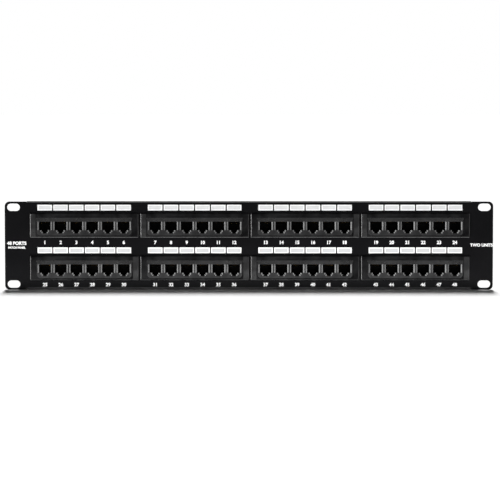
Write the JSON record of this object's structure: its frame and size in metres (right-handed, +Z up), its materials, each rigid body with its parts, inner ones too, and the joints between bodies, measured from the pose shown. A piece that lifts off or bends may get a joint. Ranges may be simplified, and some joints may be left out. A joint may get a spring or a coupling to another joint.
{
  "type": "rack patch panel",
  "caption": "Two-unit rack patch panel: a folded steel plate with slotted ears that carries rows of modular sockets in front and wire terminals behind.",
  "frame": {"origin": "centre of the steel plate's back face, the plane that the rack rails touch", "axes": "+X to the right as seen from the front, +Y towards the back, +Z up"},
  "size_m": [0.4826, 0.0352, 0.0874],
  "materials": {
    "black_steel": "satin black powder coat",
    "black_plastic": "fine moulded texture",
    "carrier_plastic": "matt",
    "gold_contact": "gold plated",
    "circuit_board": "solder mask over glass fibre",
    "terminal_plastic": "matt",
    "label_film": "printed film"
  },
  "bodies": {
    "panel": {"steel_panel": "black_steel", "jack_housing_1": "black_plastic", "contact_carrier_1": "carrier_plastic", "circuit_board_1": "circuit_board", "terminal_block_upper_1": "terminal_plastic", "terminal_block_lower_1": "terminal_plastic", "wiring_label_1": "label_film", "jack_housing_2": "black_plastic", "contact_carrier_2": "carrier_plastic", "circuit_board_2": "circuit_board", "terminal_block_upper_2": "terminal_plastic", "terminal_block_lower_2": "terminal_plastic", "wiring_label_2": "label_film", "jack_housing_3": "black_plastic", "contact_carrier_3": "carrier_plastic", "circuit_board_3": "circuit_board", "terminal_block_upper_3": "terminal_plastic", "terminal_block_lower_3": "terminal_plastic", "wiring_label_3": "label_film", "jack_housing_4": "black_plastic", "contact_carrier_4": "carrier_plastic", "circuit_board_4": "circuit_board", "terminal_block_upper_4": "terminal_plastic", "terminal_block_lower_4": "terminal_plastic", "wiring_label_4": "label_film", "jack_housing_5": "black_plastic", "contact_carrier_5": "carrier_plastic", "circuit_board_5": "circuit_board", "terminal_block_upper_5": "terminal_plastic", "terminal_block_lower_5": "terminal_plastic", "wiring_label_5": "label_film", "jack_housing_6": "black_plastic", "contact_carrier_6": "carrier_plastic", "circuit_board_6": "circuit_board", "terminal_block_upper_6": "terminal_plastic", "terminal_block_lower_6": "terminal_plastic", "wiring_label_6": "label_film", "jack_housing_7": "black_plastic", "contact_carrier_7": "carrier_plastic", "circuit_board_7": "circuit_board", "terminal_block_upper_7": "terminal_plastic", "terminal_block_lower_7": "terminal_plastic", "wiring_label_7": "label_film", "jack_housing_8": "black_plastic", "contact_carrier_8": "carrier_plastic", "circuit_board_8": "circuit_board", "terminal_block_upper_8": "terminal_plastic", "terminal_block_lower_8": "terminal_plastic", "wiring_label_8": "label_film"},
    "springs_1": {"contact_springs_1": "gold_contact"},
    "springs_2": {"contact_springs_2": "gold_contact"},
    "springs_3": {"contact_springs_3": "gold_contact"},
    "springs_4": {"contact_springs_4": "gold_contact"},
    "springs_5": {"contact_springs_5": "gold_contact"},
    "springs_6": {"contact_springs_6": "gold_contact"},
    "springs_7": {"contact_springs_7": "gold_contact"},
    "springs_8": {"contact_springs_8": "gold_contact"}
  },
  "joints": [
    {"name": "contact_flex_1", "type": "hinge", "parent": "panel", "child": "springs_1", "pos_m": [-0.16275, 0.0018, 0.0252], "axis": [1, 0, 0], "range_deg": [0, 15], "stiffness_Nm_per_rad": 2},
    {"name": "contact_flex_2", "type": "hinge", "parent": "panel", "child": "springs_2", "pos_m": [-0.05365, 0.0018, 0.0252], "axis": [1, 0, 0], "range_deg": [0, 15], "stiffness_Nm_per_rad": 2},
    {"name": "contact_flex_3", "type": "hinge", "parent": "panel", "child": "springs_3", "pos_m": [0.05545, 0.0018, 0.0252], "axis": [1, 0, 0], "range_deg": [0, 15], "stiffness_Nm_per_rad": 2},
    {"name": "contact_flex_4", "type": "hinge", "parent": "panel", "child": "springs_4", "pos_m": [0.16455, 0.0018, 0.0252], "axis": [1, 0, 0], "range_deg": [0, 15], "stiffness_Nm_per_rad": 2},
    {"name": "contact_flex_5", "type": "hinge", "parent": "panel", "child": "springs_5", "pos_m": [-0.16275, 0.0018, -0.0171], "axis": [1, 0, 0], "range_deg": [0, 15], "stiffness_Nm_per_rad": 2},
    {"name": "contact_flex_6", "type": "hinge", "parent": "panel", "child": "springs_6", "pos_m": [-0.05365, 0.0018, -0.0171], "axis": [1, 0, 0], "range_deg": [0, 15], "stiffness_Nm_per_rad": 2},
    {"name": "contact_flex_7", "type": "hinge", "parent": "panel", "child": "springs_7", "pos_m": [0.05545, 0.0018, -0.0171], "axis": [1, 0, 0], "range_deg": [0, 15], "stiffness_Nm_per_rad": 2},
    {"name": "contact_flex_8", "type": "hinge", "parent": "panel", "child": "springs_8", "pos_m": [0.16455, 0.0018, -0.0171], "axis": [1, 0, 0], "range_deg": [0, 15], "stiffness_Nm_per_rad": 2}
  ]
}
